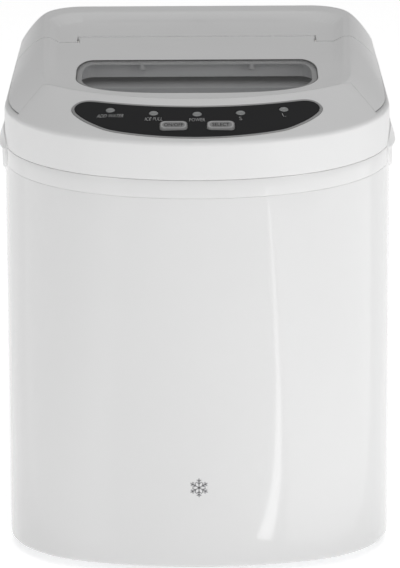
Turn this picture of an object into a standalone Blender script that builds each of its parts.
"""Worktop bullet-ice maker: bowed white cabinet, hinged window lid, control deck and ice works.

Metres, +Z up, the front faces -Y, the origin is under the middle of the machine at floor level.
"""
import math

import bmesh
import bpy
from mathutils import Matrix, Vector

# ---------------------------------------------------------------- overall
WIDTH = 0.278               # cabinet at its widest, without the side grips
DEPTH = 0.364               # front of the bow to the drain cap behind
HEIGHT = 0.338
REAR_NARROWING = 0.005      # each side, from the front shoulder to the rear corner

# ---------------------------------------------------------------- heights
FOOT_HEIGHT = 0.006         # how far the cabinet stands off the floor
RIM_HEIGHT = 0.0124         # thin band between body and cover
COVER_BAND = 0.0266         # upright wall of the top cover
SLOPE_RISE = 0.017          # control deck, lower edge to crest
REAR_RIDGE_RISE = 0.004     # rear ridge above the front crest
SHOULDER_RISE = 0.003
FIELD_DROP = 0.0008         # recessed field below the front crest

# ---------------------------------------------------------------- plan shape
BOW_ANGLE = math.radians(20)    # where the bowed front turns into the corner
TOP_CORNER = 0.120              # front corner radius at the cover
FOOT_CORNER = 0.080             # front corner radius at the floor
FOOT_TAPER = 0.0015             # narrower at the floor, each side
REAR_CORNER = 0.036
FACET_ANGLE = math.radians(67.7)    # where the deck's mitre line meets the lower edge
SLOPE_RUN = 0.064               # control deck, front to back
CREST_CORNER_IN = 0.019
CREST_CORNER_BACK = 0.039
SHOULDER_REAR_IN = 0.018
RIDGE_REAR_IN = 0.003
RIDGE_FLAT = 0.005              # flat top of the shoulder ridge
RIDGE_REAR_FLAT = 0.019
FIELD_RUN = 0.007               # ridge down to the field
FIELD_REAR_RUN = 0.016
SHOULDER_BULGE = 0.0028

# ---------------------------------------------------------------- walls and clearances
BODY_WALL = 0.0025
COVER_WALL = 0.0025
LID_WALL = 0.0030
GAP = 0.0003                # between pieces that touch
SEAM = 0.0008               # visible seam
LID_SEAM = 0.0012
BORE_CLEARANCE = 0.00015

# ---------------------------------------------------------------- lid and window
LID_REAR_Y = 0.0700         # rear edge of the lid beside the hinge tongue
TONGUE_HALF = 0.088
TONGUE_LENGTH = 0.020       # reach of the hinge tongue behind the lid's rear edge
BARREL_RADIUS = 0.0042
PIN_RADIUS = 0.0018
PIN_LENGTH = 0.018
WINDOW_REAR_Y = 0.010
WINDOW_FRONT_MARGIN = 0.021     # crest to the window's front edge
WINDOW_HALF = 0.087
WINDOW_BOW = 0.048              # how far the front edge sweeps back at its ends
WINDOW_BOW_POWER = 3.3          # 2 is an ellipse, more is squarer
WINDOW_CORNER_IN = 0.012        # rear corners, across and front to back
WINDOW_CORNER_BACK = 0.035
WINDOW_STEPS = 9
PANE = 0.0016
WINDOW_LIP = 0.004
COLLAR_MARGIN = 0.0020          # window edge to the collar's inner face
COLLAR_WALL = 0.0025
COLLAR_LIFT = 0.0015            # collar above the ledge

# ---------------------------------------------------------------- controls
FASCIA_TOP_MARGIN = 0.0130
FASCIA_BOTTOM_MARGIN = 0.0085
FASCIA_HALF = 0.0877
FASCIA_BEZEL = 0.0017
FASCIA_PROUD = 0.0005
FASCIA_SEAT = 0.0014
LENS_RADIUS = 0.0033
LENS_SPACING = 0.0305
LENS_BACK = 0.0098          # lens row in front of the fascia's top edge
LENS_DEPTH = 0.0040
BUTTON_LENGTH = 0.0195
BUTTON_WIDTH = 0.0118
BUTTON_SPACING = 0.033
BUTTON_BACK = 0.0267        # button row in front of the fascia's top edge
BUTTON_PROUD = 0.0016
BUTTON_DEPTH = 0.0075
BUTTON_TRAVEL = 0.0010
BOARD_THICKNESS = 0.0016

# ---------------------------------------------------------------- side grips
GRIP_LENGTH = 0.104
GRIP_PROUD = 0.0048
GRIP_LIP_PROUD = 0.0021
GRIP_Y = -0.030
GRIP_ABOVE = 0.0130         # upper edge above the cover's lower edge
GRIP_STEP = 0.0025          # step between grip and lip, below the cover's lower edge
GRIP_BELOW = 0.0240         # lower edge of the lip

# ---------------------------------------------------------------- ice works
BIN_HALF = 0.088            # inside the reservoir, half width
BIN_FRONT = 0.074           # inside front wall, in front of the machine's middle
BIN_REAR = 0.066            # inside rear wall, behind the middle
BIN_DEPTH = 0.150
BIN_WALL = 0.0025
FOAM = 0.012
BASKET_SIDE_CLEARANCE = 0.006
BASKET_DEPTH = 0.064        # front to back
BASKET_HALF = BIN_HALF - BASKET_SIDE_CLEARANCE
BASKET_HEIGHT = 0.095
BASKET_WALL = 0.0018
BASKET_CLEARANCE = 0.003
BASKET_TOP_DROP = 0.020     # basket rim below the compartment's mouth
TRAY_HALF = 0.072
TRAY_DEPTH = 0.046
TRAY_HEIGHT = 0.028
TRAY_WALL = 0.0016
TRAY_DROP = 0.040           # tray rim below the compartment's mouth
TRAY_BACK_GAP = 0.022       # tray pivot to the bin's rear wall
TRAY_PIN_RADIUS = 0.0030
FINGER_RADIUS = 0.0048
FINGER_LENGTH = 0.026
FINGER_IMMERSION = 0.018
FINGER_COLUMNS = 5
FINGER_PITCH = 0.025
REAR_ROW_SHARE = 0.37       # finger rows in front of the pivot, as shares of the tray's depth
FRONT_ROW_SHARE = 0.74
EVAPORATOR_PLATE = 0.008
PLATE_MARGIN = 0.0075       # finger row to the plate's edge
HOOD_DROP = 0.0006          # hood top below the bin's rim
HOOD_WALL = 0.0016
HOOD_GAP = 0.0020
HOOD_CURTAIN_GAP = 0.0024   # curtain above the tray's rim

# ---------------------------------------------------------------- machinery
COMPRESSOR_RADIUS = 0.050
COMPRESSOR_HEIGHT = 0.092
COMPRESSOR_X = 0.066
COMPRESSOR_Y = 0.092
GROMMET_RADIUS = 0.0085
GROMMET_HEIGHT = 0.010
CONDENSER_LENGTH = 0.124
CONDENSER_HEIGHT = 0.112
CONDENSER_THICK = 0.022
CONDENSER_FINS = 17
CONDENSER_Y = 0.066
FAN_RADIUS = 0.046
FAN_DEPTH = 0.014
FAN_BLADES = 7
TUBE_RADIUS = 0.0032
PAN_THICKNESS = 0.0012
PAN_RIM = 0.011
FOOT_RADIUS = 0.012
VENT_SLOTS = 9
VENT_SLOT = 0.0036
VENT_PITCH = 0.0092
VENT_LENGTH = 0.070
DRAIN_RADIUS = 0.0075
DRAIN_CAP_RADIUS = 0.0125
DRAIN_CAP_PROUD = 0.0045
DRAIN_CAP_TOP = 0.0022

# ---------------------------------------------------------------- derived levels and places
HALF = WIDTH / 2
FRONT_Y = -DEPTH / 2
REAR_Y = DEPTH / 2 - DRAIN_CAP_PROUD
RIDGE_TOP = HEIGHT
CREST_Z = RIDGE_TOP - REAR_RIDGE_RISE
FIELD_Z = CREST_Z - FIELD_DROP
EDGE_Z = CREST_Z - SLOPE_RISE
COVER_BOTTOM = EDGE_Z - COVER_BAND
RIM_BOTTOM = COVER_BOTTOM - RIM_HEIGHT
BODY_TOP = RIM_BOTTOM - SEAM
LEDGE_Z = EDGE_Z + 0.0014
LID_BOTTOM = LEDGE_Z + SEAM
PAN_Z = FOOT_HEIGHT + 0.002
FLOOR_Z = PAN_Z + PAN_THICKNESS
HINGE_Y = LID_REAR_Y + TONGUE_LENGTH - BARREL_RADIUS
HINGE_Z = FIELD_Z - BARREL_RADIUS
SLOPE_ANGLE = math.atan2(SLOPE_RISE, SLOPE_RUN)
FASCIA_TOP_Y = FRONT_Y + SLOPE_RUN - FASCIA_TOP_MARGIN
FASCIA_BOTTOM_Y = FRONT_Y + FASCIA_BOTTOM_MARGIN
WINDOW_FRONT_Y = FRONT_Y + SLOPE_RUN + WINDOW_FRONT_MARGIN
BIN_TOP = LEDGE_Z - COVER_WALL - GAP
BIN_BOTTOM = BIN_TOP - BIN_DEPTH
MOUTH_HALF = BIN_HALF - 0.002
TRAY_PIVOT_Y = BIN_REAR - TRAY_BACK_GAP - TRAY_PIN_RADIUS
TRAY_TOP = BIN_TOP - TRAY_DROP
CONDENSER_X = -(HALF - BODY_WALL - CONDENSER_THICK / 2 - 0.009)
FAN_X = CONDENSER_X + CONDENSER_THICK / 2 + 0.014
CONDENSER_Z = FLOOR_Z + 0.006 + CONDENSER_HEIGHT / 2

MATERIALS = {
    "body_white": ((0.86, 0.86, 0.86), 0.12, 0.0),
    "cover_white": ((0.80, 0.80, 0.80), 0.22, 0.0),
    "window_smoke": ((0.22, 0.23, 0.24), 0.10, 0.0),
    "fascia_black": ((0.02, 0.02, 0.022), 0.25, 0.0),
    "bezel_grey": ((0.45, 0.46, 0.47), 0.35, 0.0),
    "button_grey": ((0.42, 0.42, 0.42), 0.40, 0.0),
    "lens": ((0.55, 0.56, 0.56), 0.20, 0.0),
    "inner_plastic": ((0.78, 0.79, 0.80), 0.35, 0.0),
    "basket_plastic": ((0.70, 0.73, 0.76), 0.25, 0.0),
    "foam": ((0.75, 0.72, 0.62), 0.90, 0.0),
    "rubber": ((0.03, 0.03, 0.03), 0.80, 0.0),
    "sheet_steel": ((0.55, 0.56, 0.57), 0.45, 1.0),
    "black_steel": ((0.03, 0.03, 0.03), 0.45, 0.6),
    "copper": ((0.72, 0.38, 0.22), 0.35, 1.0),
    "aluminium": ((0.75, 0.76, 0.77), 0.35, 1.0),
    "nickel": ((0.70, 0.69, 0.66), 0.25, 1.0),
    "motor_plastic": ((0.06, 0.06, 0.07), 0.50, 0.0),
    "board_green": ((0.05, 0.22, 0.11), 0.50, 0.0),
}


# ================================================================ scene helpers
def clear_scene():
    for obj in list(bpy.data.objects):
        bpy.data.objects.remove(obj, do_unlink=True)


def new_collection(name):
    collection = bpy.data.collections.new(name)
    bpy.context.scene.collection.children.link(collection)
    return collection


clear_scene()
PARTS = new_collection("ice_maker")
CUTTERS = new_collection("cutters")


def material(name):
    """Principled material of one of the slots above."""
    found = bpy.data.materials.get(name)
    if found:
        return found
    colour, roughness, metallic = MATERIALS[name]
    made = bpy.data.materials.new(name)
    made.use_nodes = True
    shader = made.node_tree.nodes["Principled BSDF"]
    shader.inputs["Base Color"].default_value = (*colour, 1.0)
    shader.inputs["Roughness"].default_value = roughness
    shader.inputs["Metallic"].default_value = metallic
    return made


def place(name, mesh, slot=None, smooth=None):
    """Put a mesh in the scene: a part when it has a slot, else a cutter."""
    obj = bpy.data.objects.new(name, mesh)
    if slot:
        PARTS.objects.link(obj)
        mesh.materials.clear()
        mesh.materials.append(material(slot))
        if smooth:
            mesh.shade_smooth()
            mesh.set_sharp_from_angle(angle=math.radians(smooth))
        return obj
    CUTTERS.objects.link(obj)
    obj.hide_render = True
    obj.display_type = "WIRE"
    return obj


def mesh_from(build, triangles=False):
    """Mesh made by a function that fills a bmesh."""
    bm = bmesh.new()
    build(bm)
    bmesh.ops.recalc_face_normals(bm, faces=bm.faces)
    if triangles:
        bmesh.ops.triangulate(bm, faces=bm.faces)
    mesh = bpy.data.meshes.new("shape")
    bm.to_mesh(mesh)
    bm.free()
    return mesh


def add_box(bm, low, high):
    low, high = Vector(low), Vector(high)
    size = high - low
    matrix = Matrix.Translation((low + high) / 2) @ Matrix.Diagonal((*size, 1.0))
    bmesh.ops.create_cube(bm, size=1.0, matrix=matrix)


def box(name, low, high, slot=None, bevel=0.0, segments=2):
    obj = place(name, mesh_from(lambda bm: add_box(bm, low, high)), slot, 40 if bevel else None)
    if bevel:
        round_edges(obj, bevel, segments)
    return obj


def round_edges(obj, width, segments=2):
    bevel = obj.modifiers.new("round", "BEVEL")
    bevel.width = width
    bevel.segments = segments
    bevel.limit_method = "ANGLE"
    bevel.angle_limit = math.radians(35)
    return obj


def boxes(name, corners, slot=None):
    """Several boxes in one cutter."""
    def build(bm):
        for low, high in corners:
            add_box(bm, low, high)
    return place(name, mesh_from(build), slot)


AXIS_TURN = {
    "z": Matrix.Identity(4),
    "x": Matrix.Rotation(math.pi / 2, 4, "Y"),
    "y": Matrix.Rotation(-math.pi / 2, 4, "X"),
}


def add_cylinder(bm, centre, radius, length, axis="z", sides=32, top_radius=None):
    matrix = Matrix.Translation(centre) @ AXIS_TURN[axis]
    bmesh.ops.create_cone(bm, cap_ends=True, segments=sides, radius1=radius,
                          radius2=radius if top_radius is None else top_radius,
                          depth=length, matrix=matrix)


def cylinder(name, centre, radius, length, axis="z", slot=None, sides=32, bevel=0.0):
    mesh = mesh_from(lambda bm: add_cylinder(bm, centre, radius, length, axis, sides))
    obj = place(name, mesh, slot, 40)
    if bevel:
        round_edges(obj, bevel)
    return obj


def turned(name, centre, profile, slot, axis="z", sides=32):
    """Turned piece: the profile is (radius, height) from the top down its outer side."""
    mesh = bpy.data.meshes.new(name)
    points = [(radius, 0.0, height) for radius, height in profile]
    mesh.from_pydata(points, [(i, i + 1) for i in range(len(points) - 1)], [])
    obj = place(name, mesh, slot)
    obj.matrix_world = Matrix.Translation(centre) @ AXIS_TURN[axis]
    screw = obj.modifiers.new("turn", "SCREW")
    screw.steps = sides
    screw.render_steps = sides
    screw.use_merge_vertices = True
    screw.merge_threshold = 0.00001
    screw.use_smooth_shade = True
    return obj


def solid_outline(name, points, low, high, slot=None):
    """Upright prism over a flat outline, from low to high."""
    curve = bpy.data.curves.new(name, "CURVE")
    curve.dimensions = "2D"
    curve.fill_mode = "BOTH"
    curve.extrude = (high - low) / 2
    spline = curve.splines.new("POLY")
    spline.points.add(len(points) - 1)
    for point, (x, y) in zip(spline.points, points):
        point.co = (x, y, 0.0, 1.0)
    spline.use_cyclic_u = True
    guide = bpy.data.objects.new(name + "_outline", curve)
    CUTTERS.objects.link(guide)
    guide.location.z = (low + high) / 2
    return from_curve(name, guide, slot)


def from_curve(name, guide, slot):
    """Turn a curve object into a welded mesh object and drop the curve."""
    bpy.context.view_layer.update()
    evaluated = guide.evaluated_get(bpy.context.evaluated_depsgraph_get())
    mesh = bpy.data.meshes.new_from_object(evaluated)
    mesh.transform(guide.matrix_world)
    bm = bmesh.new()
    bm.from_mesh(mesh)
    bmesh.ops.remove_doubles(bm, verts=bm.verts, dist=0.000005)
    bmesh.ops.recalc_face_normals(bm, faces=bm.faces)
    bm.to_mesh(mesh)
    bm.free()
    bpy.data.objects.remove(guide, do_unlink=True)
    return place(name, mesh, slot, 35)


def tube(name, points, radius, slot, resolution=2):
    """Pipe through a few points, with its bends rounded by a spline."""
    curve = bpy.data.curves.new(name, "CURVE")
    curve.dimensions = "3D"
    curve.bevel_depth = radius
    curve.bevel_resolution = resolution
    curve.use_fill_caps = True
    route = rounded_route([Vector(point) for point in points], radius * 3.5)
    spline = curve.splines.new("POLY")
    spline.points.add(len(route) - 1)
    for point, place_at in zip(spline.points, route):
        point.co = (*place_at, 1.0)
    obj = bpy.data.objects.new(name, curve)
    PARTS.objects.link(obj)
    curve.materials.append(material(slot))
    return obj


def rounded_route(points, bend, steps=5):
    """Polyline whose inner corners are replaced by arcs of about the bend radius."""
    route = [points[0]]
    for before, corner, after in zip(points, points[1:], points[2:]):
        reach = min(bend, (corner - before).length * 0.45, (after - corner).length * 0.45)
        start = corner + (before - corner).normalized() * reach
        end = corner + (after - corner).normalized() * reach
        for step in range(steps + 1):
            t = step / steps
            route.append(start.lerp(corner, t).lerp(corner.lerp(end, t), t))
    route.append(points[-1])
    return route


def loft(name, rings, slot=None, smooth=30):
    """Closed body through rings of equal count, capped flat at both ends."""
    def build(bm):
        rows = [[bm.verts.new(point) for point in ring] for ring in rings]
        count = len(rows[0])
        for lower, upper in zip(rows, rows[1:]):
            for i in range(count):
                j = (i + 1) % count
                bm.faces.new((lower[i], lower[j], upper[j], upper[i]))
        bm.faces.new(list(reversed(rows[0])))
        bm.faces.new(rows[-1])
    return place(name, mesh_from(build, True), slot, smooth)


def boolean(obj, other, operation, solver="EXACT"):
    modifier = obj.modifiers.new(operation.lower() + "_" + other.name, "BOOLEAN")
    modifier.operation = operation
    modifier.object = other
    modifier.solver = solver
    return obj


def cut(obj, *others, solver="EXACT"):
    for other in others:
        boolean(obj, other, "DIFFERENCE", solver)
    return obj


def join(obj, *others):
    for other in others:
        boolean(obj, other, "UNION")
    return obj


def keep(obj, other):
    return boolean(obj, other, "INTERSECT")


def set_origin(obj, point):
    """Move an object's origin without moving its shape."""
    obj.data.transform(Matrix.Translation(-Vector(point)))
    obj.location = point
    return obj


# ================================================================ outlines
def resample(points, count):
    """Points spaced evenly along a polyline, both ends kept."""
    lengths = [0.0]
    for a, b in zip(points, points[1:]):
        lengths.append(lengths[-1] + math.dist(a, b))
    result = []
    index = 0
    for step in range(count + 1):
        target = lengths[-1] * step / count
        while index < len(points) - 2 and lengths[index + 1] < target:
            index += 1
        span = lengths[index + 1] - lengths[index]
        t = (target - lengths[index]) / span
        a, b = points[index], points[index + 1]
        result.append((a[0] + (b[0] - a[0]) * t, a[1] + (b[1] - a[1]) * t))
    return result


def arc(centre, radius, start, end, steps):
    """Points on an arc; angles count from straight ahead (-Y) towards +X."""
    return [(centre[0] + radius * math.sin(start + (end - start) * i / steps),
             centre[1] - radius * math.cos(start + (end - start) * i / steps))
            for i in range(steps + 1)]


SEGMENTS = (9, 7, 4, 2)    # points on the front, side, rear corner and rear of half a ring


def cabinet_half(half, corner, inset):
    """Right half of the cabinet's plan as its four stretches, front centre to rear centre."""
    corner_x = half - corner
    bow = corner + corner_x / math.sin(BOW_ANGLE)
    radius = corner - inset
    bow_radius = bow - inset
    corner_y = FRONT_Y + bow - (bow - corner) * math.cos(BOW_ANGLE)
    front_line = arc((0.0, FRONT_Y + bow), bow_radius, 0.0, BOW_ANGLE, 12)
    front_line += arc((corner_x, corner_y), radius, BOW_ANGLE, FACET_ANGLE, 16)[1:]
    rear_half = half - REAR_NARROWING
    rear_radius = REAR_CORNER - inset
    rear_x, rear_y = rear_half - REAR_CORNER, REAR_Y - REAR_CORNER
    side_line = arc((corner_x, corner_y), radius, FACET_ANGLE, math.pi / 2, 6)
    side_line.append((rear_x + rear_radius, rear_y))
    corner_line = arc((rear_x, rear_y), rear_radius, math.pi / 2, math.pi, 8)
    rear_line = [corner_line[-1], (0.0, REAR_Y - inset)]
    return front_line, side_line, corner_line, rear_line


def crest_half(forward, side, rear):
    """Right half of a line on the cover: the crest moved in by the given amounts."""
    facet = cabinet_half(HALF, TOP_CORNER, 0.0)[0][-1]
    corner = (facet[0] - CREST_CORNER_IN - side, facet[1] + CREST_CORNER_BACK + forward)
    front_y = FRONT_Y + SLOPE_RUN + forward
    rise = corner[1] - front_y
    bow = (corner[0] ** 2 + rise ** 2) / (2 * rise)
    turn = math.asin(corner[0] / bow)
    front_line = arc((0.0, front_y + bow), bow, 0.0, turn, 16)
    rear_half = HALF - REAR_NARROWING - SHOULDER_REAR_IN - side
    rear_y = REAR_Y - RIDGE_REAR_IN - rear
    radius = REAR_CORNER - SHOULDER_REAR_IN / 2 - min(side, rear) / 2
    side_line = [corner, (rear_half, rear_y - radius)]
    corner_line = arc((rear_half - radius, rear_y - radius), radius, math.pi / 2, math.pi, 8)
    return front_line, side_line, corner_line, [corner_line[-1], (0.0, rear_y)]


def ring_points(stretches, height):
    """Whole ring from half a plan; height is a number or a function of stretch and place."""
    half = []
    for stretch, (line, count) in enumerate(zip(stretches, SEGMENTS)):
        for i, (x, y) in enumerate(resample(line, count)[:-1]):
            z = height(stretch, i / count) if callable(height) else height
            half.append((x, y, z))
    x, y = stretches[-1][-1]
    half.append((0.0, y, height(3, 1.0) if callable(height) else height))
    return half + [(-px, py, pz) for px, py, pz in reversed(half[1:-1])]


def ridge_height(stretch, t):
    """Height along the crest and shoulder ridge."""
    if stretch == 0:
        return CREST_Z
    if stretch == 1:
        climb = min(1.0, t * 1.6)
        return CREST_Z + SHOULDER_RISE * climb * climb * (3 - 2 * climb)
    if stretch == 2:
        return CREST_Z + SHOULDER_RISE + (REAR_RIDGE_RISE - SHOULDER_RISE) * t
    return RIDGE_TOP


def blend_rings(lower, upper, t, bulge):
    """Ring part of the way between two others; bulge lifts the shoulders and the rear."""
    result = []
    count = SEGMENTS[0]
    total = len(lower)
    for i, (a, b) in enumerate(zip(lower, upper)):
        from_front = min(i, total - i)
        lift = bulge * min(1.0, max(0.0, (from_front - count) / 3))
        result.append(tuple(p + (q - p) * t for p, q in zip(a, b))[:2]
                      + (a[2] + (b[2] - a[2]) * t + lift,))
    return result


def cover_solid(name, inset=0.0, lift=0.0, bottom=None, plain=False):
    """The whole top cover as one closed body, shrunk by inset or moved up by lift.

    The plain form leaves out the rings that round the lower edge.
    """
    bottom = COVER_BOTTOM if bottom is None else bottom
    wall = ring_points(cabinet_half(HALF, TOP_CORNER, inset), EDGE_Z - inset + lift)
    crest = ring_points(crest_half(inset * 0.4, inset * 0.6, inset),
                        lambda s, t: ridge_height(s, t) - inset + lift)
    inner = ring_points(crest_half(RIDGE_FLAT * 0.8 + inset * 0.4, RIDGE_FLAT + inset * 0.6,
                                   RIDGE_REAR_FLAT + inset),
                        lambda s, t: ridge_height(s, t) - 0.0002 - inset + lift)
    field = ring_points(crest_half(RIDGE_FLAT * 0.8 + FIELD_RUN + inset * 0.4,
                                   RIDGE_FLAT + FIELD_RUN + inset * 0.6,
                                   RIDGE_REAR_FLAT + FIELD_REAR_RUN + inset),
                        FIELD_Z - inset + lift)
    low_ring = [(x, y, bottom) for x, y, z in wall]
    if plain:
        return loft(name, [low_ring, wall, blend_rings(wall, crest, 0.4, SHOULDER_BULGE * 0.9),
                           crest, field])
    rings = [
        low_ring,
        [(x, y, z - 0.0020) for x, y, z in wall],
        [(p[0], p[1], p[2] - 0.0007) for p in blend_rings(wall, crest, 0.008, 0.0)],
        blend_rings(wall, crest, 0.030, SHOULDER_BULGE * 0.3),
        blend_rings(wall, crest, 0.35, SHOULDER_BULGE),
        blend_rings(wall, crest, 0.80, SHOULDER_BULGE * 0.7),
        crest, inner, field,
    ]
    return loft(name, rings)


def lid_region(margin):
    """Plan outline of the lid, grown by the margin; it runs past the cover's sides.

    The rear edges get twice the margin, for the lid's swing.
    """
    front = crest_half(0.0, 0.0, 0.0)[0]
    facet = cabinet_half(HALF, TOP_CORNER, 0.0)[0][-1]
    corner = front[-1]
    outward = Vector((facet[0] - corner[0], facet[1] - corner[1])).normalized()
    past = (facet[0] + outward.x * 0.05, facet[1] + outward.y * 0.05)
    half = [(x, y - margin) for x, y in resample(front, 12)]
    half[-1] = (corner[0], corner[1] - margin * 1.25)
    half.append((past[0], past[1] - margin * 1.25))
    half.append((HALF + 0.05, past[1]))
    half.append((HALF + 0.05, LID_REAR_Y + 2 * margin))
    half.append((TONGUE_HALF + margin, LID_REAR_Y + 2 * margin))
    half.append((TONGUE_HALF + margin, LID_REAR_Y + TONGUE_LENGTH + 2 * margin))
    return half + [(-x, y) for x, y in reversed(half) if x > 1e-6]


def window_outline(margin):
    """Window plan: a bowed front that sweeps into straight sides, and elliptic rear corners."""
    half_width = WINDOW_HALF + margin
    front_y = WINDOW_FRONT_Y - margin
    front = []
    for step in range(WINDOW_STEPS + 1):
        angle = math.pi / 2 * step / WINDOW_STEPS
        front.append((half_width * math.sin(angle) ** (2 / WINDOW_BOW_POWER),
                      front_y + WINDOW_BOW * (1 - math.cos(angle))))
    corner_in, corner_back = WINDOW_CORNER_IN + margin, WINDOW_CORNER_BACK + margin
    rear = []
    for step in range(WINDOW_STEPS + 1):
        angle = math.pi / 2 * step / WINDOW_STEPS
        rear.append((half_width - corner_in * (1 - math.cos(angle)),
                     WINDOW_REAR_Y + margin - corner_back * (1 - math.sin(angle))))
    half = front + rear
    return half + [(-x, y) for x, y in reversed(half) if x > 1e-6]


# ================================================================ cabinet
def body_ring(height, inset=0.0, cabinet_top=None):
    """Plan of the body at a height: rounder at the cover, squarer at the floor."""
    top = BODY_TOP if cabinet_top is None else cabinet_top
    t = min(1.0, max(0.0, (height - FOOT_HEIGHT) / (top - FOOT_HEIGHT)))
    half = HALF - FOOT_TAPER * (1 - t)
    corner = FOOT_CORNER + (TOP_CORNER - FOOT_CORNER) * t
    return ring_points(cabinet_half(half, corner, inset), height)


def upright_levels(low, high, count):
    return [low + (high - low) * i / count for i in range(count + 1)]


def make_body_shell():
    levels = upright_levels(FOOT_HEIGHT + 0.003, BODY_TOP, 3)
    rings = [body_ring(FOOT_HEIGHT, 0.0020), body_ring(FOOT_HEIGHT + 0.0008, 0.0006)]
    rings += [body_ring(level) for level in levels]
    shell = loft("body_shell", rings, "body_white")
    hollow = [body_ring(level, BODY_WALL) for level in upright_levels(FOOT_HEIGHT, BODY_TOP, 2)]
    hollow[0] = [(x, y, z - 0.01) for x, y, z in hollow[0]]
    hollow[-1] = [(x, y, z + 0.01) for x, y, z in hollow[-1]]
    cut(shell, loft("body_hollow", hollow))
    cut(shell, box("rear_opening", (-PANEL_HALF, REAR_Y - 0.02, PANEL_LOW),
                   (PANEL_HALF, REAR_Y + 0.02, PANEL_HIGH)))
    slots = []
    for side in (-1, 1):
        for i in range(VENT_SLOTS):
            z = CONDENSER_Z + (i - (VENT_SLOTS - 1) / 2) * VENT_PITCH
            xs = sorted((side * (HALF - 0.02), side * (HALF + 0.02)))
            slots.append(((xs[0], CONDENSER_Y - VENT_LENGTH / 2, z - VENT_SLOT / 2),
                          (xs[1], CONDENSER_Y + VENT_LENGTH / 2, z + VENT_SLOT / 2)))
    cut(shell, boxes("vent_slots", slots))
    return shell


PANEL_THICKNESS = 0.0012
PANEL_LAP = 0.006
PANEL_LOW = PAN_Z + PAN_RIM + PANEL_LAP + SEAM
PANEL_HIGH = BODY_TOP - 0.014
PANEL_HALF = HALF - REAR_NARROWING - REAR_CORNER - PANEL_LAP - SEAM
PANEL_Y = REAR_Y - BODY_WALL - GAP - PANEL_THICKNESS


def make_rear_panel():
    half = PANEL_HALF + PANEL_LAP
    panel = box("rear_panel", (-half, PANEL_Y, PANEL_LOW - PANEL_LAP),
                (half, PANEL_Y + PANEL_THICKNESS, PANEL_HIGH + PANEL_LAP), "body_white")
    slots = []
    for column in (-1, 1):
        for row in range(12):
            z = 0.150 + row * 0.0085
            slots.append(((column * 0.048 - 0.034, PANEL_Y - 0.01, z),
                          (column * 0.048 + 0.034, PANEL_Y + 0.01, z + 0.0034)))
    cut(panel, boxes("rear_louvres", slots))
    cut(panel, cylinder("drain_hole", (DRAIN_X, PANEL_Y, DRAIN_Z), DRAIN_RADIUS + 0.0006,
                        0.03, "y"))
    cut(panel, box("inlet_hole", (INLET_X - 0.011 - GAP, PANEL_Y - 0.01, INLET_Z - 0.007 - GAP),
                   (INLET_X + 0.011 + GAP, PANEL_Y + 0.01, INLET_Z + 0.007 + GAP)))
    return panel


DRAIN_X, DRAIN_Z = -0.070, 0.043
INLET_X, INLET_Z = 0.079, 0.040


def make_power_inlet():
    gland = box("power_inlet", (INLET_X - 0.011, PANEL_Y - 0.014, INLET_Z - 0.007),
                (INLET_X + 0.011, PANEL_Y + PANEL_THICKNESS + BODY_WALL, INLET_Z + 0.007),
                "motor_plastic", 0.0012, 1)
    cut(gland, cylinder("inlet_bore", (INLET_X, PANEL_Y, INLET_Z), 0.0036, 0.05, "y"))
    return gland


def make_base():
    levels = (PAN_Z, PAN_Z + PAN_RIM)
    outer = [body_ring(level, BODY_WALL + SEAM) for level in levels]
    pan = loft("base_pan", outer, "sheet_steel")
    inner = [body_ring(level, BODY_WALL + SEAM + PAN_THICKNESS) for level in levels]
    inner[0] = [(x, y, FLOOR_Z) for x, y, z in inner[0]]
    inner[1] = [(x, y, z + 0.01) for x, y, z in inner[1]]
    cut(pan, loft("pan_hollow", inner))
    foot_x = HALF - 0.040
    for row, y in (("front", FRONT_Y + 0.090), ("rear", REAR_Y - 0.045)):
        for side, sign in (("left", -1), ("right", 1)):
            turned(f"foot_{row}_{side}", (sign * foot_x, y, 0.0), (
                (0.0, PAN_Z - GAP), (FOOT_RADIUS * 0.8, PAN_Z - GAP),
                (FOOT_RADIUS, PAN_Z * 0.5), (FOOT_RADIUS, 0.0006),
                (FOOT_RADIUS - 0.0006, 0.0), (0.0, 0.0)), "rubber", sides=18)


def make_rim_band():
    outer = [body_ring(RIM_BOTTOM, 0.0004), body_ring(RIM_BOTTOM + 0.0006),
             body_ring(COVER_BOTTOM - SEAM - 0.0006), body_ring(COVER_BOTTOM - SEAM, 0.0004)]
    band = loft("rim_band", outer, "body_white")
    inner = [body_ring(RIM_BOTTOM - 0.01, BODY_WALL), body_ring(COVER_BOTTOM + 0.01, BODY_WALL)]
    return cut(band, loft("rim_hollow", inner))


# ================================================================ top cover
def compartment_mouth(name, low, high):
    return box(name, (-MOUTH_HALF, -BIN_FRONT + 0.002, low), (MOUTH_HALF, BIN_REAR - 0.002, high))


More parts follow.
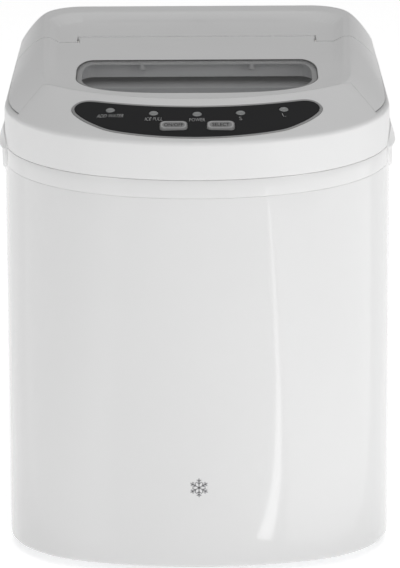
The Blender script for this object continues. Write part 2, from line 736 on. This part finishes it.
def make_top_housing():
    housing = cover_solid("top_housing")
    housing.data.materials.append(material("cover_white"))
    CUTTERS.objects.unlink(housing)
    PARTS.objects.link(housing)
    housing.hide_render = False
    housing.display_type = "TEXTURED"
    housing.data.shade_smooth()
    housing.data.set_sharp_from_angle(angle=math.radians(30))
    hollow = cover_solid("cover_hollow", COVER_WALL, 0.0, COVER_BOTTOM - 0.01, True)
    cut(hollow, solid_outline("ledge_block", lid_region(LID_SEAM / 2 + COVER_WALL),
                              LEDGE_Z - COVER_WALL, RIDGE_TOP + 0.02))
    cut(housing, solid_outline("lid_space", lid_region(LID_SEAM / 2), LEDGE_Z, RIDGE_TOP + 0.02))
    cut(housing, hollow, compartment_mouth("mouth", LEDGE_Z - 0.02, LEDGE_Z + 0.02),
        solver="MANIFOLD")
    seat = solid_outline("fascia_seat", fascia_outline(FASCIA_BEZEL + GAP),
                         EDGE_Z - 0.01, RIDGE_TOP + 0.02)
    cut(seat, cover_solid("seat_floor", 0.0, -FASCIA_SEAT, None, True))
    cut(housing, seat, *control_holes("housing", 0.0006), solver="MANIFOLD")
    for side in (-1, 1):
        socket = cylinder(f"pin_socket_{side}", (side * TONGUE_HALF, HINGE_Y, HINGE_Z),
                          PIN_RADIUS + GAP, PIN_LENGTH, "x", sides=24)
        cut(housing, socket, solver="MANIFOLD")
    return housing


def make_lid():
    lid = solid_outline("lid", lid_region(-LID_SEAM / 2), LID_BOTTOM, RIDGE_TOP + 0.02, "cover_white")
    outer = cover_solid("lid_outer")
    inner = cover_solid("lid_inner", LID_WALL, 0.0, COVER_BOTTOM - 0.01, True)
    keep(lid, outer)
    cut(lid, inner)
    barrel = cylinder("lid_barrel", (0.0, HINGE_Y, HINGE_Z), BARREL_RADIUS, 2 * TONGUE_HALF,
                      "x", sides=24)
    trim = box("tongue_trim", (-TONGUE_HALF - 0.01, HINGE_Y, HINGE_Z - 0.02),
               (TONGUE_HALF + 0.01, HINGE_Y + 0.03, HINGE_Z + 0.02))
    cut(lid, trim)
    join(lid, barrel)
    cut(lid, solid_outline("window_hole", window_outline(-WINDOW_LIP),
                           FIELD_Z - 0.02, FIELD_Z + 0.02))
    cut(lid, solid_outline("window_rebate", window_outline(GAP), FIELD_Z - PANE - GAP,
                           FIELD_Z + 0.02))
    cut(lid, cylinder("barrel_bore", (0.0, HINGE_Y, HINGE_Z), PIN_RADIUS + BORE_CLEARANCE,
                      2 * TONGUE_HALF + 0.02, "x", sides=24))
    set_origin(lid, (0.0, HINGE_Y, HINGE_Z))
    window = solid_outline("lid_window", window_outline(0.0), FIELD_Z - PANE, FIELD_Z,
                           "window_smoke")
    set_origin(window, (0.0, HINGE_Y, HINGE_Z))
    make_lid_frame()
    for side, sign in (("left", -1), ("right", 1)):
        centre = (sign * (TONGUE_HALF + PIN_LENGTH / 2 - 0.009 + GAP), HINGE_Y, HINGE_Z)
        cylinder(f"lid_hinge_pin_{side}", centre, PIN_RADIUS, PIN_LENGTH - 2 * GAP, "x",
                 "nickel", 24)


def make_lid_frame():
    """Upright collar under the lid that carries the window."""
    top = FIELD_Z - LID_WALL - GAP
    low = LEDGE_Z + COLLAR_LIFT
    frame = solid_outline("lid_inner_frame", window_outline(COLLAR_MARGIN + COLLAR_WALL), low, top,
                          "inner_plastic")
    cut(frame, solid_outline("frame_hollow", window_outline(COLLAR_MARGIN), low - 0.01,
                             top + 0.01))
    return set_origin(frame, (0.0, HINGE_Y, HINGE_Z))


# ================================================================ controls
def fascia_outline(margin):
    """Boat-shaped control panel: both long edges bow with the deck."""
    top_bow = (0.081 ** 2 + 0.0235 ** 2) / (2 * 0.0235)
    top_half = FASCIA_HALF - 0.011
    top = arc((0.0, FASCIA_TOP_Y + top_bow), top_bow - margin, 0.0,
              math.asin(top_half / top_bow), 7)
    low_bow = (0.066 ** 2 + 0.0195 ** 2) / (2 * 0.0195)
    low_half = FASCIA_HALF - 0.0245
    low = arc((0.0, FASCIA_BOTTOM_Y + low_bow), low_bow + margin, 0.0,
              math.asin(low_half / low_bow), 6)
    side_y = FASCIA_TOP_Y + 0.0150
    side = [(FASCIA_HALF - 0.0115 + margin * 0.8, side_y - 0.0250 - margin * 0.6),
            (FASCIA_HALF - 0.0035 + margin, side_y - 0.0120 - margin * 0.3),
            (FASCIA_HALF + margin, side_y - 0.0025),
            (FASCIA_HALF - 0.0018 + margin, side_y + 0.0035 + margin * 0.4),
            (FASCIA_HALF - 0.0055 + margin * 0.6, side_y + 0.0070 + margin * 0.9)]
    half = low + side + list(reversed(top))
    return half + [(-x, y) for x, y in reversed(half) if x > 1e-6]


def deck_height(x, y):
    """Height of the control deck's surface."""
    front = cabinet_half(HALF, TOP_CORNER, 0.0)[0]
    crest = crest_half(0.0, 0.0, 0.0)[0]
    edge_y = line_y(front, abs(x))
    crest_y = line_y(crest, abs(x))
    return EDGE_Z + SLOPE_RISE * (y - edge_y) / (crest_y - edge_y)


def line_y(points, x):
    for a, b in zip(points, points[1:]):
        if a[0] <= x <= b[0]:
            return a[1] + (b[1] - a[1]) * (x - a[0]) / (b[0] - a[0])
    return points[-1][1]


def lens_places():
    top_bow = (0.081 ** 2 + 0.0235 ** 2) / (2 * 0.0235)
    result = []
    for i in range(-2, 3):
        x = i * LENS_SPACING
        y = FASCIA_TOP_Y - LENS_BACK + top_bow - math.sqrt(top_bow ** 2 - x ** 2)
        result.append((x, y, deck_height(x, y)))
    return result


def button_places():
    y = FASCIA_TOP_Y - BUTTON_BACK
    return [(sign * BUTTON_SPACING / 2, y, deck_height(sign * BUTTON_SPACING / 2, y))
            for sign in (-1, 1)]


def deck_frame(place_at):
    """Local frame on the deck: its Z is the deck's outward normal."""
    return Matrix.Translation(place_at) @ Matrix.Rotation(SLOPE_ANGLE, 4, "X")


def pill(name, place_at, length, width, low, high, slot=None, bevel=0.0):
    """Stadium-shaped solid standing on the deck at a place, from low to high along its normal."""
    radius = width / 2
    reach = length / 2 - radius
    points = []
    for sign in (1, -1):
        for i in range(9):
            angle = math.pi * i / 8 - math.pi / 2
            points.append((sign * (reach + radius * math.cos(angle)), sign * radius * math.sin(angle)))
    solid = solid_outline(name, points, low, high, slot)
    solid.data.transform(Matrix.Rotation(SLOPE_ANGLE, 4, "X"))
    solid.location = place_at
    if bevel:
        round_edges(solid, bevel)
    return solid


def control_holes(prefix, margin):
    """Cutters for the lens and button holes."""
    holes = []
    for i, place_at in enumerate(lens_places()):
        mesh = mesh_from(lambda bm: add_cylinder(bm, (0, 0, 0), LENS_RADIUS + margin, 0.03, "z", 16))
        mesh.transform(deck_frame(place_at))
        holes.append(place(f"{prefix}_lens_hole_{i}", mesh))
    for i, place_at in enumerate(button_places()):
        holes.append(pill(f"{prefix}_button_hole_{i}", place_at, BUTTON_LENGTH + 2 * margin,
                          BUTTON_WIDTH + 2 * margin, -0.015, 0.015))
    return holes


def make_controls():
    panel = solid_outline("fascia_panel", fascia_outline(-GAP), EDGE_Z - 0.02,
                          RIDGE_TOP + 0.02, "fascia_black")
    keep(panel, cover_solid("fascia_top", 0.0, FASCIA_PROUD * 0.6, None, True))
    cut(panel, cover_solid("fascia_floor", 0.0, -FASCIA_SEAT + GAP, None, True))
    for cutter in control_holes("fascia", GAP):
        cut(panel, cutter)
    bezel = solid_outline("fascia_bezel", fascia_outline(FASCIA_BEZEL), EDGE_Z - 0.02,
                          RIDGE_TOP + 0.02, "bezel_grey")
    cut(bezel, solid_outline("bezel_hole", fascia_outline(0.0), EDGE_Z - 0.03, RIDGE_TOP + 0.03))
    keep(bezel, cover_solid("bezel_top", 0.0, FASCIA_PROUD, None, True))
    cut(bezel, cover_solid("bezel_floor", 0.0, -FASCIA_SEAT + GAP, None, True))
    names = ("water", "ice_full", "power", "small_ice", "large_ice")
    for name, place_at in zip(names, lens_places()):
        mesh = mesh_from(lambda bm: add_cylinder(
            bm, (0, 0, FASCIA_PROUD - LENS_DEPTH / 2), LENS_RADIUS, LENS_DEPTH, "z", 16))
        mesh.transform(deck_frame((0, 0, 0)))
        lens = place(f"lens_{name}", mesh, "lens", 40)
        lens.location = place_at
        round_edges(lens, 0.0004, 1)
    for name, place_at in zip(("button_on_off", "button_size"), button_places()):
        pill(name, place_at, BUTTON_LENGTH, BUTTON_WIDTH, -BUTTON_DEPTH, BUTTON_PROUD,
             "button_grey", 0.0007)
    make_control_board()


def make_control_board():
    """Circuit board under the fascia, parallel to the deck, with its button switches."""
    depth = BUTTON_DEPTH + BUTTON_TRAVEL + 0.0034
    mid_y = (FASCIA_TOP_Y + FASCIA_BOTTOM_Y) / 2
    place_at = (0.0, mid_y, deck_height(0.0, mid_y))
    mesh = mesh_from(lambda bm: add_box(bm, (-0.072, -0.013, -depth - BOARD_THICKNESS),
                                        (0.072, 0.017, -depth)))
    mesh.transform(deck_frame(place_at))
    board = place("control_board", mesh, "board_green")
    for i, spot in enumerate(button_places()):
        switch = mesh_from(lambda bm: add_box(bm, (-0.003, -0.003, -depth - 0.0005),
                                              (0.003, 0.003, -depth + 0.0030 - GAP)))
        switch.transform(deck_frame(spot))
        join(board, place(f"switch_{i}", switch))
    return board


# ================================================================ side grips
def make_side_grips():
    """Carrying grips on the side walls: a flared upper part over a flatter lip."""
    step_z = COVER_BOTTOM - GRIP_STEP
    for side, sign in (("left", -1), ("right", 1)):
        rings = []
        steps = 12
        for i in range(steps + 1):
            t = -1 + 2 * i / steps
            y = GRIP_Y + t * GRIP_LENGTH / 2
            swell = 0.2 + 0.8 * math.sqrt(max(0.0, 1 - t * t))
            wall = side_wall_x(y) + GAP
            high = step_z + (COVER_BOTTOM + GRIP_ABOVE - step_z) * swell
            low = step_z - (step_z - COVER_BOTTOM + GRIP_BELOW) * swell
            out, lip = GRIP_PROUD * swell, GRIP_LIP_PROUD * swell
            profile = ((0.0, low), (lip * 0.8, low + 0.004), (lip, step_z - 0.003),
                       (lip, step_z - 0.0006), (out, step_z + 0.0006), (out * 0.55, high - 0.004),
                       (0.0, high))
            rings.append([(sign * (wall + x), y, z) for x, z in profile])
        loft(f"side_grip_{side}", rings, "cover_white", 40)


def side_wall_x(y):
    """Half width of the cabinet's side at a depth."""
    stretches = cabinet_half(HALF, TOP_CORNER, 0.0)
    line = stretches[0][1:] + stretches[1][1:]
    for a, b in zip(line, line[1:]):
        if a[1] <= y <= b[1]:
            return a[0] + (b[0] - a[0]) * (y - a[1]) / (b[1] - a[1])
    return HALF


# ================================================================ ice works
def make_reservoir():
    low = (-BIN_HALF - BIN_WALL, -BIN_FRONT - BIN_WALL, BIN_BOTTOM - BIN_WALL)
    high = (BIN_HALF + BIN_WALL, BIN_REAR + BIN_WALL, BIN_TOP)
    liner = box("reservoir_liner", low, high, "inner_plastic")
    cut(liner, box("liner_hollow", (-BIN_HALF, -BIN_FRONT, BIN_BOTTOM),
                   (BIN_HALF, BIN_REAR, BIN_TOP + 0.01)))
    cut(liner, cylinder("outlet_hole", (PUMP_X, PUMP_Y, BIN_BOTTOM), 0.005 + GAP, 0.02))
    for sign, radius in ((-1, TRAY_PIN_RADIUS + GAP), (1, 0.0050)):
        cut(liner, cylinder(f"tray_bearing_{sign}", (sign * BIN_HALF, TRAY_PIVOT_Y, TRAY_TOP),
                            radius, 0.02, "x", sides=24))
    grown = BIN_WALL + GAP + FOAM
    foam = box("insulation_jacket", (-BIN_HALF - grown, -BIN_FRONT - grown, BIN_BOTTOM - grown),
               (BIN_HALF + grown, BIN_REAR + grown, BIN_TOP - TRAY_DROP - 0.016), "foam")
    lined = BIN_WALL + GAP
    cut(foam, box("foam_hollow", (-BIN_HALF - lined, -BIN_FRONT - lined, BIN_BOTTOM - lined),
                  (BIN_HALF + lined, BIN_REAR + lined, BIN_TOP + 0.01)))
    cut(foam, cylinder("foam_outlet", (PUMP_X, PUMP_Y, BIN_BOTTOM - 0.01), 0.008, 0.05))
    return liner, foam


BASKET_REAR = -BIN_FRONT + BASKET_CLEARANCE + BASKET_DEPTH
BASKET_TOP = BIN_TOP - BASKET_TOP_DROP


def make_basket():
    front = -BIN_FRONT + BASKET_CLEARANCE
    low_z = BASKET_TOP - BASKET_HEIGHT

    def ring(z, taper, wall):
        half, ahead, behind = BASKET_HALF - taper - wall, front + taper + wall, BASKET_REAR - taper - wall
        points = []
        radius = 0.012 - wall
        corners = ((half, behind, 0.0), (-half, behind, 90.0), (-half, ahead, 180.0), (half, ahead, 270.0))
        for x, y, turn in corners:
            cx = x - math.copysign(radius, x)
            cy = y - radius if y == behind else y + radius
            for i in range(5):
                angle = math.radians(turn + 90 * i / 4)
                points.append((cx + radius * math.cos(angle), cy + radius * math.sin(angle), z))
        return points
    basket = loft("ice_basket", [ring(low_z, 0.004, 0.0), ring(BASKET_TOP, 0.0, 0.0)],
                  "basket_plastic")
    cut(basket, loft("basket_hollow", [ring(low_z + BASKET_WALL, 0.004, BASKET_WALL),
                                       ring(BASKET_TOP + 0.002, 0.0, BASKET_WALL)]))
    slots = []
    reach = BASKET_HALF - 0.020
    for i in range(7):
        x = -reach + 2 * reach * i / 6
        for j in range(3):
            y = front + BASKET_DEPTH * (j + 1) / 4
            slots.append(((x - 0.006, y - 0.002, low_z - 0.01), (x + 0.006, y + 0.002, low_z + 0.01)))
    cut(basket, boxes("basket_slots", slots))
    return basket


SCOOP_LENGTH = BASKET_HALF - 0.022
SCOOP_WIDTH = BASKET_DEPTH * 0.75
SCOOP_HEIGHT = 0.024
SCOOP_WALL = 0.0018
SCOOP_SIDE_GAP = 0.024          # open end of the bowl to the basket's side
SCOOP_HANDLE = BASKET_HALF - 0.020
HANDLE_HALF = 0.009
HANDLE_LOW = 0.014
HANDLE_HIGH = 0.020


def make_scoop():
    """Little ice shovel lying in the basket: an open bowl with a round-edged handle."""
    floor = BASKET_TOP - BASKET_HEIGHT + BASKET_WALL + GAP
    x0, y0 = -BASKET_HALF + SCOOP_SIDE_GAP, (BASKET_REAR - BIN_FRONT + BASKET_CLEARANCE) / 2
    end, half = x0 + SCOOP_LENGTH, SCOOP_WIDTH / 2
    bowl = box("ice_scoop", (x0, y0 - half, floor), (end, y0 + half, floor + SCOOP_HEIGHT),
               "basket_plastic")
    cut(bowl, box("scoop_hollow", (x0 - 0.01, y0 - half + SCOOP_WALL, floor + SCOOP_WALL),
                  (end - SCOOP_WALL, y0 + half - SCOOP_WALL, floor + 0.04)))
    join(bowl, box("scoop_handle", (end - 0.001, y0 - HANDLE_HALF, floor + HANDLE_LOW),
                   (end + SCOOP_HANDLE, y0 + HANDLE_HALF, floor + HANDLE_HIGH)))
    return bowl


def make_evaporator():
    """Cooled plate with two rows of fingers that hang into the tray's water."""
    plate_low = TRAY_TOP - FINGER_IMMERSION + FINGER_LENGTH
    half = FINGER_PITCH * (FINGER_COLUMNS - 1) / 2 + 0.012
    rear_row = TRAY_PIVOT_Y - TRAY_DEPTH * REAR_ROW_SHARE
    front_row = TRAY_PIVOT_Y - TRAY_DEPTH * FRONT_ROW_SHARE
    plate = box("evaporator", (-half, front_row - PLATE_MARGIN, plate_low),
                (half, rear_row + PLATE_MARGIN, plate_low + EVAPORATOR_PLATE), "nickel", 0.0015)
    for column in range(FINGER_COLUMNS):
        x = (column - (FINGER_COLUMNS - 1) / 2) * FINGER_PITCH
        for row, y in enumerate((rear_row, front_row)):
            finger = cylinder(f"finger_{column}_{row}",
                              (x, y, plate_low - FINGER_LENGTH / 2 + 0.001), FINGER_RADIUS,
                              FINGER_LENGTH + 0.002, "z", sides=12)
            round_edges(finger, 0.0016, 1)
            join(plate, finger)
    make_hood(front_row - PLATE_MARGIN, rear_row + PLATE_MARGIN)
    return plate


def make_hood(front, rear):
    """Flat-topped hood over the evaporator, with a splash curtain down its front."""
    top = BIN_TOP - HOOD_DROP
    half = BIN_HALF - GAP
    front -= HOOD_GAP + HOOD_WALL
    rear += HOOD_GAP + HOOD_WALL
    hood = box("evaporator_hood", (-half, front, TRAY_TOP + HOOD_CURTAIN_GAP), (half, rear, top),
               "inner_plastic")
    cut(hood, box("hood_hollow", (-half + HOOD_WALL, front + HOOD_WALL, TRAY_TOP - 0.01),
                  (half - HOOD_WALL, rear - HOOD_WALL, top - HOOD_WALL)))
    return round_edges(hood, 0.0007, 1)


def make_tray():
    """Tilting water tray on two stub pins along its rear rim."""
    low = (-TRAY_HALF, TRAY_PIVOT_Y - TRAY_DEPTH, TRAY_TOP - TRAY_HEIGHT)
    high = (TRAY_HALF, TRAY_PIVOT_Y + 0.003, TRAY_TOP)
    tray = box("water_tray", low, high, "inner_plastic")
    cut(tray, box("tray_hollow", (low[0] + TRAY_WALL, low[1] + TRAY_WALL, low[2] + TRAY_WALL),
                  (high[0] - TRAY_WALL, high[1] - 0.006 - TRAY_WALL, high[2] + 0.01)))
    for sign, reach in ((-1, BIN_HALF + 0.0015), (1, BIN_HALF - 0.0005)):
        start = TRAY_HALF - 0.002
        join(tray, cylinder(f"tray_pin_{sign}", (sign * (start + reach) / 2, TRAY_PIVOT_Y,
                                                 TRAY_TOP), TRAY_PIN_RADIUS,
                            reach - start, "x", sides=16))
    set_origin(tray, (0.0, TRAY_PIVOT_Y, TRAY_TOP))
    motor = box("tray_motor", (BIN_HALF + BIN_WALL + GAP, TRAY_PIVOT_Y - 0.020, TRAY_TOP - 0.014),
                (HALF - BODY_WALL - 0.008, TRAY_PIVOT_Y + 0.016, TRAY_TOP + 0.020),
                "motor_plastic", 0.002)
    join(motor, cylinder("motor_shaft", (BIN_HALF + 0.0024, TRAY_PIVOT_Y, TRAY_TOP), 0.0035,
                         0.0052, "x", sides=16))
    make_chute()
    return tray


def make_chute():
    """Sloping plate under the tray that guides falling ice forward into the basket."""
    low_z = BIN_BOTTOM + 0.050
    rear = BIN_REAR - 0.003
    front = BASKET_REAR + 0.004
    side = BIN_HALF - GAP
    rings = []
    for x in (-side, side):
        rings.append([(x, front, low_z - 0.032), (x, rear, low_z), (x, rear, low_z + 0.0022),
                      (x, front, low_z - 0.0298)])
    return loft("ice_chute", rings, "inner_plastic")


PUMP_X, PUMP_Y = -0.030, -0.045


def make_pump():
    top = BIN_BOTTOM - BIN_WALL - GAP - FOAM - GAP
    pump = turned("water_pump", (PUMP_X, PUMP_Y, 0.0), (
        (0.0, top + 0.010), (0.0042, top + 0.010), (0.0042, top - 0.002), (0.018, top - 0.004),
        (0.0205, top - 0.007), (0.0205, top - 0.030), (0.018, top - 0.034), (0.0, top - 0.034)),
        "motor_plastic", sides=28)
    hose_low = top - 0.018
    tube("pump_hose", ((PUMP_X - 0.0213, PUMP_Y, hose_low), (-BIN_HALF - 0.019, PUMP_Y, hose_low),
                       (-BIN_HALF - 0.022, PUMP_Y, TRAY_TOP + 0.006),
                       (-BIN_HALF - BIN_WALL - 0.0008, PUMP_Y, TRAY_TOP + 0.010)),
         0.0038, "inner_plastic")
    return pump


def make_sensors():
    """Float switch in the reservoir and the ice-level eyes over the basket."""
    x, y = BIN_HALF - 0.014, BIN_REAR - 0.018
    turned("float_stem", (x, y, 0.0), (
        (0.0, BIN_BOTTOM + 0.040), (0.0022, BIN_BOTTOM + 0.040), (0.0022, BIN_BOTTOM + 0.004),
        (0.006, BIN_BOTTOM + 0.003), (0.006, BIN_BOTTOM + GAP), (0.0, BIN_BOTTOM + GAP)),
        "inner_plastic", sides=20)
    turned("water_float", (x, y, BIN_BOTTOM + 0.004 + GAP), (
        (0.0027, 0.016), (0.0080, 0.016), (0.0090, 0.015), (0.0090, 0.001), (0.0080, 0.0),
        (0.0027, 0.0), (0.0027, 0.016)), "motor_plastic", sides=24)
    for side, sign in (("left", -1), ("right", 1)):
        xs = sorted((sign * (BIN_HALF - GAP), sign * (BIN_HALF - 0.0045)))
        box(f"ice_full_sensor_{side}", (xs[0], -0.034, BASKET_TOP + 0.004),
            (xs[1], -0.020, BASKET_TOP + 0.013), "motor_plastic", 0.0008, 1)


# ================================================================ refrigeration
def make_compressor():
    base = FLOOR_Z + GROMMET_HEIGHT + GAP
    r, h = COMPRESSOR_RADIUS, COMPRESSOR_HEIGHT
    profile = [(0.0, base + h)]
    for i in range(1, 6):
        angle = math.pi / 2 * i / 5
        profile.append((r * (0.35 + 0.65 * math.sin(angle)), base + h - 0.030 * (1 - math.cos(angle))))
    profile += [(r, base + h * 0.45), (r + 0.0025, base + h * 0.45 - 0.001),
                (r + 0.0025, base + h * 0.45 - 0.007), (r, base + h * 0.45 - 0.008)]
    for i in range(1, 6):
        angle = math.pi / 2 * i / 5
        profile.append((r * (0.5 + 0.5 * math.cos(angle)), base + 0.026 - 0.018 * math.sin(angle)))
    profile.append((0.0, base + 0.008))
    body = turned("compressor", (COMPRESSOR_X, COMPRESSOR_Y, 0.0), profile, "black_steel", sides=28)
    reach = r * 0.86
    plate = box("compressor_plate",
                (COMPRESSOR_X - reach, COMPRESSOR_Y - reach * 0.8, base),
                (COMPRESSOR_X + reach, COMPRESSOR_Y + reach * 0.8, base + 0.0095))
    join(body, plate)
    for row, dy in (("front", -0.6), ("rear", 0.6)):
        for side, dx in (("left", -0.68), ("right", 0.68)):
            turned(f"compressor_mount_{row}_{side}",
                   (COMPRESSOR_X + dx * r, COMPRESSOR_Y + dy * r, 0.0), (
                       (0.0, base - GAP), (GROMMET_RADIUS, base - GAP),
                       (GROMMET_RADIUS * 0.8, base - GROMMET_HEIGHT / 2),
                       (GROMMET_RADIUS, FLOOR_Z + GAP), (0.0, FLOOR_Z + GAP)), "rubber", sides=14)
    x = COMPRESSOR_X - r - 0.0025 - GAP
    box("start_relay", (x - 0.016, COMPRESSOR_Y - 0.019, base + 0.030),
        (x, COMPRESSOR_Y + 0.019, base + 0.066), "motor_plastic", 0.002)
    return body


def make_condenser():
    """Condenser block: a finned core between two end plates."""
    x, y, z = CONDENSER_X, CONDENSER_Y, CONDENSER_Z
    half_y, half_z, half_x = CONDENSER_LENGTH / 2, CONDENSER_HEIGHT / 2, CONDENSER_THICK / 2
    core = box("condenser", (x - half_x * 0.55, y - half_y, z - half_z),
               (x + half_x * 0.55, y + half_y, z + half_z), "aluminium")
    fins = []
    for i in range(CONDENSER_FINS):
        fin_y = y - half_y + 0.001 + (CONDENSER_LENGTH - 0.002) * i / (CONDENSER_FINS - 1)
        fins.append(((x - half_x, fin_y - 0.0010, z - half_z + 0.002),
                     (x + half_x, fin_y + 0.0010, z + half_z - 0.002)))
    return join(core, boxes("condenser_fins", fins))


def make_fan():
    centre = (FAN_X, CONDENSER_Y, CONDENSER_Z)
    half_z = CONDENSER_HEIGHT / 2
    half_y = CONDENSER_LENGTH / 2
    gap_x = CONDENSER_X + CONDENSER_THICK / 2 + GAP + 0.0003
    shroud = box("fan_shroud", (gap_x, CONDENSER_Y - half_y, CONDENSER_Z - half_z),
                 (FAN_X + FAN_DEPTH / 2 + 0.002, CONDENSER_Y + half_y, CONDENSER_Z + half_z),
                 "motor_plastic")
    cut(shroud, cylinder("fan_throat", centre, FAN_RADIUS + 0.0025, 0.08, "x", sides=40))
    motor_x = FAN_X + FAN_DEPTH / 2 + 0.0035
    motor = cylinder("fan_motor", (motor_x + 0.012, centre[1], centre[2]), 0.018, 0.020, "x",
                     "motor_plastic", 28, 0.0015)
    arm_x = FAN_X + FAN_DEPTH / 2 + 0.0025
    for i, turn in enumerate((0.25, 0.75)):
        angle = math.pi * turn
        arm = mesh_from(lambda bm: add_box(bm, (-0.0015, -0.003, -FAN_RADIUS - 0.0085),
                                           (0.0030, 0.003, FAN_RADIUS + 0.0085)))
        arm.transform(Matrix.Translation((arm_x + 0.0035, centre[1], centre[2]))
                      @ Matrix.Rotation(angle, 4, "X"))
        join(motor, place(f"motor_arm_{i}", arm))
    rotor = cylinder("fan_rotor", (0, 0, 0), 0.013, FAN_DEPTH, "x", "motor_plastic", 24)
    for i in range(FAN_BLADES):
        blade = mesh_from(lambda bm: add_box(bm, (-0.0009, -0.011, 0.010),
                                             (0.0009, 0.011, FAN_RADIUS)))
        blade.transform(Matrix.Rotation(math.tau * i / FAN_BLADES, 4, "X")
                        @ Matrix.Rotation(math.radians(62), 4, "Z"))
        piece = place(f"fan_blade_{i}", blade)
        piece.location = centre
        join(rotor, piece)
    rotor.location = centre
    return rotor


def make_lines():
    """Filter drier, hot-gas valve and the copper lines between the refrigeration pieces."""
    top = FLOOR_Z + GROMMET_HEIGHT + COMPRESSOR_HEIGHT
    drier_x, drier_y = -0.004, 0.148
    turned("filter_drier", (drier_x, drier_y, 0.0), (
        (0.0, 0.118), (0.0034, 0.118), (0.0034, 0.112), (0.0095, 0.106), (0.0095, 0.056),
        (0.0034, 0.050), (0.0034, 0.044), (0.0, 0.044)), "copper", sides=24)
    valve = box("hot_gas_valve", (-0.034, 0.102, 0.040), (-0.014, 0.128, 0.066),
                "motor_plastic", 0.0015)
    join(valve, cylinder("valve_body", (-0.024, 0.115, 0.033), 0.007, 0.016, "z", sides=20))
    rear = BIN_REAR + BIN_WALL + GAP + FOAM
    tube("discharge_line", ((COMPRESSOR_X, COMPRESSOR_Y + COMPRESSOR_RADIUS + 0.0030, 0.040),
                            (COMPRESSOR_X, COMPRESSOR_Y + COMPRESSOR_RADIUS + 0.016, 0.040),
                            (COMPRESSOR_X, COMPRESSOR_Y + COMPRESSOR_RADIUS + 0.016, 0.022),
                            (-0.024, COMPRESSOR_Y + COMPRESSOR_RADIUS + 0.016, 0.022),
                            (-0.024, COMPRESSOR_Y + COMPRESSOR_RADIUS - 0.010, 0.0150),
                            (-0.024, 0.115, 0.0150), (-0.024, 0.115, 0.0245)),
         TUBE_RADIUS, "copper")
    tube("suction_line", ((COMPRESSOR_X - 0.004, COMPRESSOR_Y + 0.006, top + 0.0016),
                          (COMPRESSOR_X - 0.004, COMPRESSOR_Y + 0.006, top + 0.020),
                          (COMPRESSOR_X - 0.004, rear + 0.010, top + 0.034),
                          (COMPRESSOR_X - 0.004, rear + 0.010, BIN_TOP - 0.012),
                          (COMPRESSOR_X - 0.004, BIN_REAR + BIN_WALL + 0.0008, BIN_TOP - 0.012)),
         TUBE_RADIUS, "copper")
    tube("liquid_line", ((drier_x, drier_y, 0.1186), (drier_x, drier_y, 0.150),
                         (drier_x - 0.012, rear + 0.012, 0.165),
                         (drier_x - 0.012, rear + 0.012, BIN_TOP - 0.012),
                         (drier_x - 0.012, BIN_REAR + BIN_WALL + 0.0008, BIN_TOP - 0.012)),
         0.0022, "copper")


def make_electrics():
    front = FRONT_Y + 0.030
    case = box("power_board", (-0.052, front, 0.040), (0.052, front + 0.026, 0.126),
               "motor_plastic", 0.003)
    return case


def make_drain():
    """Drain spout through the rear panel, closed by a screw cap."""
    start = REAR_Y - 0.060
    cap_y = PANEL_Y + PANEL_THICKNESS + GAP
    reach = DEPTH / 2 - cap_y
    end = DEPTH / 2 - DRAIN_CAP_TOP - GAP
    length = end - start
    spout = turned("drain_spout", (DRAIN_X, start, DRAIN_Z), (
        (DRAIN_RADIUS - 0.0022, length), (DRAIN_RADIUS, length), (DRAIN_RADIUS, 0.004),
        (DRAIN_RADIUS + 0.003, 0.003), (DRAIN_RADIUS + 0.003, 0.0), (DRAIN_RADIUS - 0.0022, 0.0),
        (DRAIN_RADIUS - 0.0022, length)), "inner_plastic", "y", 28)
    inside = reach - DRAIN_CAP_TOP
    turned("drain_cap", (DRAIN_X, cap_y, DRAIN_Z), (
        (0.0, reach), (DRAIN_CAP_RADIUS - 0.001, reach), (DRAIN_CAP_RADIUS, reach - 0.001),
        (DRAIN_CAP_RADIUS, 0.0), (DRAIN_RADIUS + 0.0005, 0.0),
        (DRAIN_RADIUS + 0.0005, inside), (0.0, inside)), "motor_plastic", "y", 32)
    return spout


make_body_shell()
make_rear_panel()
make_power_inlet()
make_base()
make_rim_band()
make_top_housing()
make_lid()
make_controls()
make_side_grips()
make_reservoir()
make_basket()
make_scoop()
make_evaporator()
make_tray()
make_pump()
make_sensors()
make_compressor()
make_condenser()
make_fan()
make_lines()
make_electrics()
make_drain()
